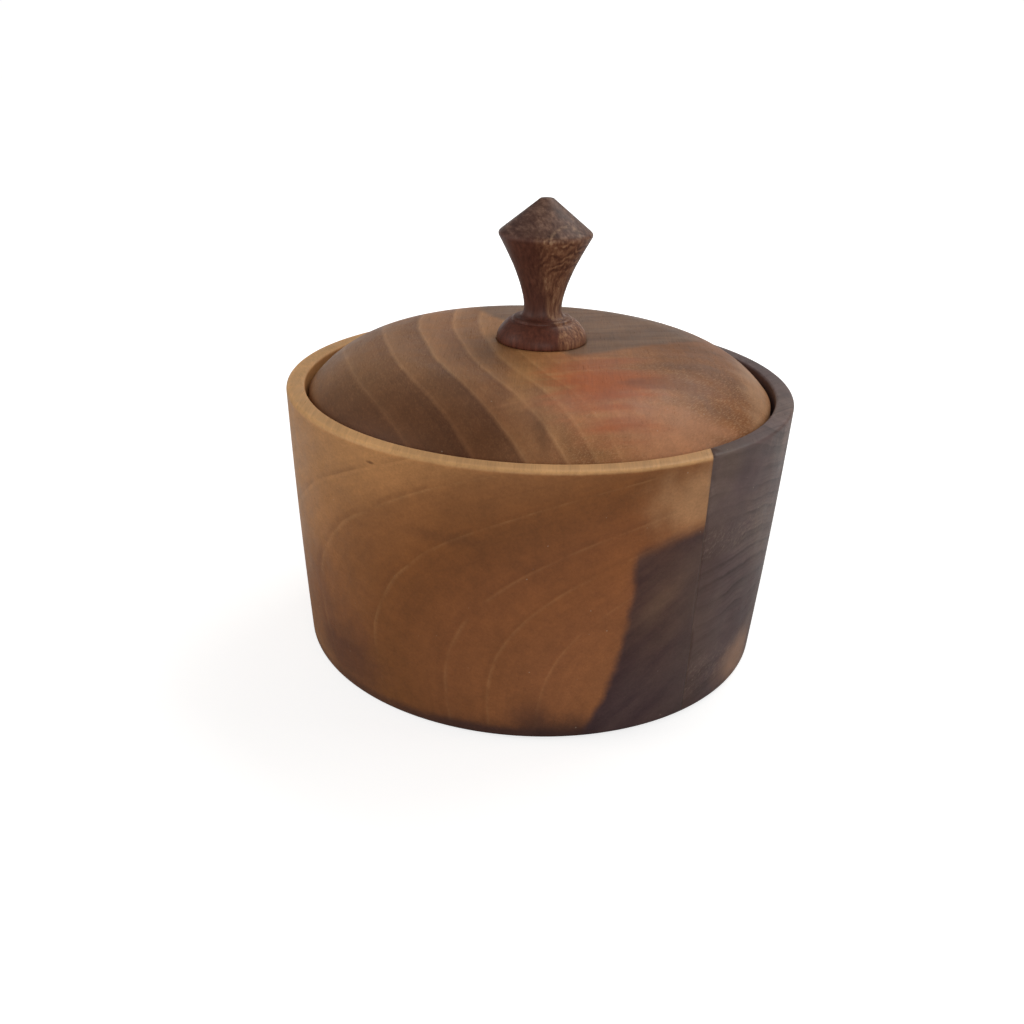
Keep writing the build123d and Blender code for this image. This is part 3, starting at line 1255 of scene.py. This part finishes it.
@dataclass
class BowlBoard(TurnedPiece):
    """One of the two boards of the bowl, cut from the turned section at the glue line.

    Attributes:
        side: The side of the glue line that it lies on.
        seam_x: Where the glue line is, in mm.
        rim_radius: Outer radius at the top, in mm, like every size that follows.
        mid_radius: Outer radius halfway up.
        base_radius: Outer radius at the foot.
        height: Height of the rim.
        rebate_radius: Inner radius above the lid's ledge.
        ledge: Height of the ledge.
        cavity_top: Inner radius under the ledge.
        cavity_base: Inner radius where wall and floor would meet.
        floor: Height of the cavity's floor.
        corner: Rounding between wall and floor.
        recess_radius: Radius of the recess in the underside.
        recess: Depth of that recess.
        recess_edge: Bevel of its edge.
        base_edge: Rounding of the foot.
        rim_edge: Rounding of the rim's outer edge.
        rim_inset: How far that rounding keeps inside the rim's radius.
        inner_edge: Rounding of the rim's inner edge.
        wall_start: Height that the rows of the wall are counted from.
        wall_margin: Height at both ends of the wall that its roundings take up.
        wall_rows: How many rows the wall has.
    """

    steps: int = 288
    side: Side = Side.LEFT
    seam_x: float = 47.1
    rim_radius: float = 80.0
    mid_radius: float = 78.07
    base_radius: float = 75.28
    height: float = 86.0
    rebate_radius: float = 74.35
    ledge: float = 78.0
    cavity_top: float = 69.6
    cavity_base: float = 66.4
    floor: float = 10.0
    corner: float = 14.0
    recess_radius: float = 61.0
    recess: float = 1.2
    recess_edge: float = 0.6
    base_edge: float = 2.5
    rim_edge: float = 1.1
    rim_inset: float = 0.03
    inner_edge: float = 0.8
    wall_start: float = 3.0
    wall_margin: float = 4.6
    wall_rows: int = 22

    def wall(self, z: float) -> float:
        """Outer radius at a height, on a curve through base, middle and rim."""
        t = z / self.height
        low, middle, high = (1 - t) * (1 - 2 * t), 4 * t * (1 - t), t * (2 * t - 1)
        return self.base_radius * low + self.mid_radius * middle + self.rim_radius * high

    def outside(self) -> list[Point2]:
        """The section from the middle of the underside round to the rim's inner edge."""
        ring, edge = self.recess_radius, self.base_edge
        points = [(0.0, self.recess), (ring - self.recess_edge, self.recess), (ring, self.recess_edge)]
        points += [(ring + 0.5, 0.05), (ring + 1.0, 0.0)]
        points += self.arc((self.wall(edge) - edge, edge), edge, -90, -2, 9)
        span, rows = self.height - self.wall_margin, self.wall_rows
        heights = [self.wall_start + k * span / rows for k in range(1, rows + 1)]
        points += [(self.wall(z), z) for z in heights]
        rim = (self.rim_radius - self.rim_edge - self.rim_inset, self.height - self.rim_edge)
        points += self.arc(rim, self.rim_edge, 2, 90, 7)
        inner = (self.rebate_radius + self.inner_edge, self.height - self.inner_edge)
        return points + self.arc(inner, self.inner_edge, 90, 180, 6)

    def inside(self) -> list[Point2]:
        """The section from the rebate down to the middle of the cavity's floor."""
        rebate, mouth, ledge = self.rebate_radius, self.cavity_top, self.ledge
        points = [(rebate, ledge + 0.35), (rebate - 0.1, ledge + 0.1), (rebate - 0.4, ledge)]
        points += [(mouth + 0.6, ledge), (mouth + 0.18, ledge - 0.18), (mouth - 0.02, ledge - 0.7)]
        slope = math.atan2(mouth - self.cavity_base, ledge - self.floor)
        rise = self.corner * (1 - math.sin(slope))
        reach = self.cavity_base + rise * math.tan(slope)
        points += self.between(points[-1], (reach, self.floor + rise), 4)
        centre = (reach - self.corner * math.cos(slope), self.floor + self.corner)
        points += self.arc(centre, self.corner, -math.degrees(slope), -90, 14)
        return points + [(30.0, self.floor), (0.0, self.floor)]

    def section(self) -> list[Point2]:
        """The wall's section; see TurnedPiece.section."""
        return self.outside() + self.inside()

    def make(self, material: bpy.types.Material) -> bpy.types.Object:
        """Spins the section, parts it at the glue line and closes the cut."""
        shell = self.spin()
        cut = bmesh.ops.bisect_plane(
            shell,
            geom=list(shell.verts) + list(shell.edges) + list(shell.faces),
            dist=WELD,
            plane_co=(self.seam_x * MM, 0, 0),
            plane_no=(self.side.value, 0, 0),
            clear_outer=True,
        )
        rim = [e for e in cut["geom_cut"] if isinstance(e, bmesh.types.BMEdge)]
        bmesh.ops.triangle_fill(shell, edges=rim, use_beauty=True)
        bmesh.ops.recalc_face_normals(shell, faces=shell.faces)
        piece = self.finish_piece(shell, material)
        for polygon in piece.data.polygons:
            polygon.use_smooth = abs(polygon.center.x - self.seam_x * MM) > ON_CUT
        return piece


@dataclass
class LidDisc(TurnedPiece):
    """The domed lid with its seat and blind hole.

    Attributes:
        radius: Its radius, in mm, like every size that follows.
        apex: Height of the crown's middle.
        crown: Radius of the crown's flat arc.
        crown_edge: Radius at which the crown goes over into the shoulder.
        shoulder: Radius of the shoulder's arc.
        ledge: Height of the ledge that it rests on.
        dish_radius: Radius of the dished underside.
        dish: Depth of that dish.
        seat_radius: Radius of the flat seat for the knob's collar.
        seat: Height of that seat.
        hole_radius: Radius of the hole for the tenon.
        hole_bottom: Height of the hole's end.
        crown_start: Radius of the crown's first even row.
        crown_rows: How many rows follow it on the crown.
        shoulder_rows: How many rows the shoulder has.
        shoulder_margin: Width that the edge's rounding takes up.
        upper_edge: That rounding: how far in and how far down each corner lies.
        lower_edge: The lower rounding: how far in and how far up.
        hollow: Radii of the dish's rows.
    """

    radius: float = 73.1
    apex: float = 98.8
    crown: float = 1200.0
    crown_edge: float = 45.3
    shoulder: float = 36.7
    ledge: float = 78.0
    dish_radius: float = 67.0
    dish: float = 3.0
    seat_radius: float = 14.45
    seat: float = 98.6
    hole_radius: float = 5.0
    hole_bottom: float = 86.2
    crown_start: float = 16.0
    crown_rows: int = 10
    shoulder_rows: int = 24
    shoulder_margin: float = 0.8
    upper_edge: tuple[Point2, ...] = ((0.35, 0.5), (0.08, 1.0), (0.0, 1.7))
    lower_edge: tuple[Point2, ...] = ((0.0, 0.7), (0.2, 0.2), (0.7, 0.0))
    hollow: tuple[float, ...] = (60.0, 50.0, 40.0, 28.0, 14.0, 0.0)

    def top(self, r: float) -> float:
        """Height of the upper side at a radius."""
        centre = self.apex - self.crown
        if r <= self.crown_edge:
            return centre + math.sqrt(self.crown**2 - r**2)
        inward = (self.crown - self.shoulder) / self.crown
        edge = centre + math.sqrt(self.crown**2 - self.crown_edge**2)
        middle = (self.crown_edge * inward, centre + (edge - centre) * inward)
        return middle[1] + math.sqrt(self.shoulder**2 - (r - middle[0]) ** 2)

    def section(self) -> list[Point2]:
        """The lid's section; see TurnedPiece.section."""
        points = [(0.0, self.hole_bottom), (self.hole_radius, self.hole_bottom)]
        points += [(self.hole_radius, self.seat), (self.seat_radius - 0.05, self.seat)]
        points.append((self.seat_radius, self.seat + 0.05))
        start, rows = self.crown_start, self.crown_rows
        radii = [self.seat_radius + 0.25]
        radii += [start + k * (self.crown_edge - start) / rows for k in range(rows + 1)]
        start, rows, end = self.crown_edge, self.shoulder_rows, self.radius - self.shoulder_margin
        radii += [start + (end - start) * k / rows for k in range(1, rows + 1)]
        points += [(r, self.top(r)) for r in radii]
        points += [(self.radius - inward, self.top(end) - down) for inward, down in self.upper_edge]
        points += [(self.radius - inward, self.ledge + up) for inward, up in self.lower_edge]
        points += [(self.dish_radius + 0.4, self.ledge), (self.dish_radius - 0.4, self.ledge + 0.05)]
        return points + [(r, self.ledge + self.dish * (1 - (r / self.dish_radius) ** 2)) for r in self.hollow]


@dataclass
class LidKnob(TurnedPiece):
    """The finial knob, turned with its collar and tenon.

    Attributes:
        seat: Height of the lid's seat, in mm, like every size that follows.
        tenon_radius: Radius of the tenon.
        tenon: Its length.
        tenon_edge: Bevel of its end.
        collar_radius: Radius of the collar's foot.
        collar_foot: Bevel of that foot.
        collar: Section of the collar, radius and height, from its foot up.
        ring: Section of the small ring on it.
        neck: Section of the neck.
        head: Section of the head's widest edge.
        tip: Section of the tip; a straight cone leads up to it.
    """

    steps: int = 160
    seat: float = 98.6
    tenon_radius: float = 5.0
    tenon: float = 12.0
    tenon_edge: float = 0.6
    collar_radius: float = 14.2
    collar_foot: float = 0.2
    collar: tuple[Point2, ...] = (
        (14.2, 99.4), (14.14, 100.2), (13.93, 101.0), (13.55, 101.8), (13.0, 102.6),
        (12.35, 103.4), (11.6, 104.2), (10.9, 104.8), (10.5, 105.05),
    )
    ring: tuple[Point2, ...] = (
        (9.75, 105.1), (9.4, 105.15), (9.36, 105.5), (9.3, 105.8), (9.0, 106.08), (8.5, 106.2), (7.8, 106.22),
    )
    neck: tuple[Point2, ...] = (
        (7.1, 106.35), (6.55, 106.75), (6.2, 107.4), (5.98, 108.2), (5.9, 109.0), (5.96, 110.2),
        (6.12, 111.4), (6.4, 112.8), (6.8, 114.3), (7.3, 116.0), (8.0, 118.0), (8.85, 120.2),
        (9.75, 122.3), (10.6, 124.0), (11.6, 126.0), (12.7, 128.1), (13.6, 129.75),
    )
    head: tuple[Point2, ...] = (
        (14.1, 130.65), (14.36, 131.15), (14.45, 131.7), (14.3, 132.15), (13.8, 132.65),
    )
    tip: tuple[Point2, ...] = ((2.35, 141.85), (2.05, 142.08), (1.6, 142.18), (0.0, 142.2))

    def section(self) -> list[Point2]:
        """The knob's section; see TurnedPiece.section."""
        low = self.seat - self.tenon
        edge, foot = self.tenon_edge, self.collar_foot
        points = [(0.0, low), (self.tenon_radius - edge, low), (self.tenon_radius, low + edge)]
        points += [(self.tenon_radius, self.seat), (self.collar_radius - foot, self.seat)]
        points += [(self.collar_radius, self.seat + foot), *self.collar, *self.ring, *self.neck, *self.head]
        return points + self.between(self.head[-1], self.tip[0], 4) + list(self.tip)


@dataclass(frozen=True)
class Lamp:
    """A soft rectangular light that faces the bowl.

    Attributes:
        name: Its name.
        place: Where it hangs, in metres.
        size: Its width and height, in metres.
        power: Its power in watts.
        colour: Its colour.
    """

    name: str
    place: Triple
    size: Point2
    power: float
    colour: Colour = (1.0, 0.98, 0.95)


@dataclass
class Studio:
    """Pale table, soft lights and the camera of the photograph.

    Attributes:
        frame_px: Width of the photograph, in pixels.
        focal_px: Focal length in those pixels.
        distance: Camera distance from the aim point, in mm.
        elevation: Camera height angle, in degrees.
        roll: Turn of the frame, in degrees.
        aside: Pixels that the aim point lies right of the middle.
        below: Pixels that it lies below the middle.
        aim: The aim point, in mm.
        lamps: The lights.
        lamp_aim: What the lights face, in metres.
        table_size: Half the width of the table, in metres.
        table_colour: Its colour.
        air_colour: Colour of the room's air.
        felt: How much light the room's air gives.
        backdrop: How bright the air looks to the camera.
    """

    frame_px: float = 1024.0
    focal_px: float = 1080.4
    distance: float = 362.34
    elevation: float = 22.59
    roll: float = 2.351
    aside: float = 22.22
    below: float = -31.8
    aim: Triple = (0.0, 0.0, 50.0)
    lamps: tuple[Lamp, ...] = (
        Lamp("top_softbox", (0.40, 0.45, 0.85), (0.7, 0.7), 4.4),
        Lamp("back_panel", (0.0, 1.50, 0.20), (1.8, 0.30), 2.0),
        Lamp("left_softbox", (-1.0, -0.15, 0.45), (0.4, 0.7), 2.4),
        Lamp("right_softbox", (1.0, 0.0, 0.45), (0.4, 0.7), 1.7),
        Lamp("front_fill", (0.05, -1.25, 0.34), (1.0, 0.5), 4.8),
    )
    lamp_aim: Triple = (0.0, 0.0, 0.06)
    table_size: float = 3.0
    table_colour: Colour = (0.6, 0.595, 0.59)
    air_colour: Colour = (1.0, 0.995, 0.985)
    felt: float = 0.2
    backdrop: float = 1.02

    def camera(self) -> bpy.types.Object:
        """Sets up the camera at the photograph's angle.

        Returns:
            The camera.
        """
        tilt, turn = math.radians(self.elevation), math.radians(self.roll)
        back = Vector((0.0, -math.cos(tilt), math.sin(tilt)))
        right = Vector((1.0, 0.0, 0.0))
        up = right.cross(-back)
        pan, nod = math.atan(self.aside / self.focal_px), math.atan(self.below / self.focal_px)
        side = right * math.cos(pan) - back * math.sin(pan)
        ahead = -right * math.sin(pan) - back * math.cos(pan)
        rise = up * math.cos(nod) - ahead * math.sin(nod)
        ahead = up * math.sin(nod) + ahead * math.cos(nod)
        across = side * math.cos(turn) + rise * math.sin(turn)
        top = rise * math.cos(turn) - side * math.sin(turn)
        data = bpy.data.cameras.new("photo_camera")
        data.sensor_width = 36.0
        data.lens = self.focal_px / self.frame_px * data.sensor_width
        data.clip_start, data.clip_end = 0.01, 20.0
        camera = bpy.data.objects.new("photo_camera", data)
        bpy.context.scene.collection.objects.link(camera)
        place = (Vector(self.aim) + back * self.distance) * MM
        axes = Matrix((across, top, -ahead)).transposed().to_4x4()
        camera.matrix_world = Matrix.Translation(place) @ axes
        bpy.context.scene.camera = camera
        return camera

    def floor(self) -> bpy.types.Object:
        """Lays a plain pale table that looks evenly white but for the bowl's soft shadow.

        Returns:
            The table.
        """
        shape = bmesh.new()
        bmesh.ops.create_grid(shape, x_segments=1, y_segments=1, size=self.table_size)
        mesh = bpy.data.meshes.new("pale_table")
        shape.to_mesh(mesh)
        shape.free()
        material = bpy.data.materials.new("pale_table")
        material.use_nodes = True
        b = NodeBench(material.node_tree)
        shader = b.tree.nodes["Principled BSDF"]
        shader.inputs["Base Color"].default_value = (*self.table_colour, 1.0)
        shader.inputs["Roughness"].default_value = 0.9
        shader.inputs["Specular IOR Level"].default_value = 0.1
        shader.inputs["Emission Color"].default_value = (1.0, 1.0, 1.0, 1.0)
        x, y, _ = b.parts(b.add("TexCoord").outputs["Object"])
        away = b.vector("LENGTH", b.join(x, y, 0.0))
        path = b.add("LightPath")
        seen = b.times(path.outputs["Is Camera Ray"], b.spread(away, 0.12, 0.5, 0.74, 1.0))
        # The table behind the bowl also glows for glossy rays alone: a glow that is no lamp, put there to
        # show as sheen at the bowl's grazing edges.
        mirrored = b.times(path.outputs["Is Glossy Ray"], b.times(b.step(y, -0.02, 0.06), 0.35))
        b.feed(shader.inputs["Emission Strength"], b.total(seen, mirrored))
        mesh.materials.append(material)
        table = bpy.data.objects.new("pale_table", mesh)
        bpy.context.scene.collection.objects.link(table)
        return table

    def hang(self, lamp: Lamp) -> bpy.types.Object:
        """Hangs one light.

        Args:
            lamp: What it is.

        Returns:
            The light.
        """
        data = bpy.data.lights.new(lamp.name, "AREA")
        data.shape = "RECTANGLE"
        data.size, data.size_y = lamp.size
        data.energy = lamp.power
        data.color = lamp.colour
        light = bpy.data.objects.new(lamp.name, data)
        bpy.context.scene.collection.objects.link(light)
        light.location = lamp.place
        away = Vector(lamp.place) - Vector(self.lamp_aim)
        light.rotation_euler = away.to_track_quat("Z", "Y").to_euler()
        return light

    def air(self) -> None:
        """Fills the room with even pale light and a white backdrop."""
        world = bpy.data.worlds.new("studio_air")
        world.use_nodes = True
        bpy.context.scene.world = world
        world.node_tree.nodes.clear()
        b = NodeBench(world.node_tree)
        glow = b.add("Background")
        glow.inputs["Color"].default_value = (*self.air_colour, 1.0)
        camera_ray = b.add("LightPath").outputs["Is Camera Ray"]
        b.feed(glow.inputs["Strength"], b.spread(camera_ray, 0, 1, self.felt, self.backdrop))
        out = b.add("OutputWorld")
        b.feed(out.inputs["Surface"], glow.outputs["Background"])

    def build(self) -> None:
        """Sets up everything round the object."""
        bpy.context.scene.view_settings.view_transform = "Standard"
        self.floor()
        self.camera()
        self.air()
        for lamp in self.lamps:
            self.hang(lamp)


def main() -> None:
    """Builds the pieces in order."""
    logging.basicConfig(level=logging.INFO, format="%(name)s: %(message)s")
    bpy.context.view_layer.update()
    effects = EffectBook()
    pieces: list[tuple[TurnedPiece, WoodFinish]] = [
        (BowlBoard("pale_board", "bowl_pale_wood", "bowl_pale_board", Body.BOWL), PaleBoardWood(effects)),
        (
            BowlBoard("dark_board", "bowl_dark_wood", "bowl_dark_board", Body.BOWL, side=Side.RIGHT),
            DarkBoardWood(effects),
        ),
        (LidDisc("domed_lid", "lid_wood", "lid_disc", Body.LID), LidWood(effects)),
        (LidKnob("finial_knob", "knob_wood", "lid_knob", Body.LID), KnobWood(effects)),
    ]
    for piece, finish in pieces:
        made = piece.make(finish.build())
        LOG.info("%s: %d faces", made.name, len(made.data.polygons))
    Studio().build()


if __name__ == "__main__":
    main()
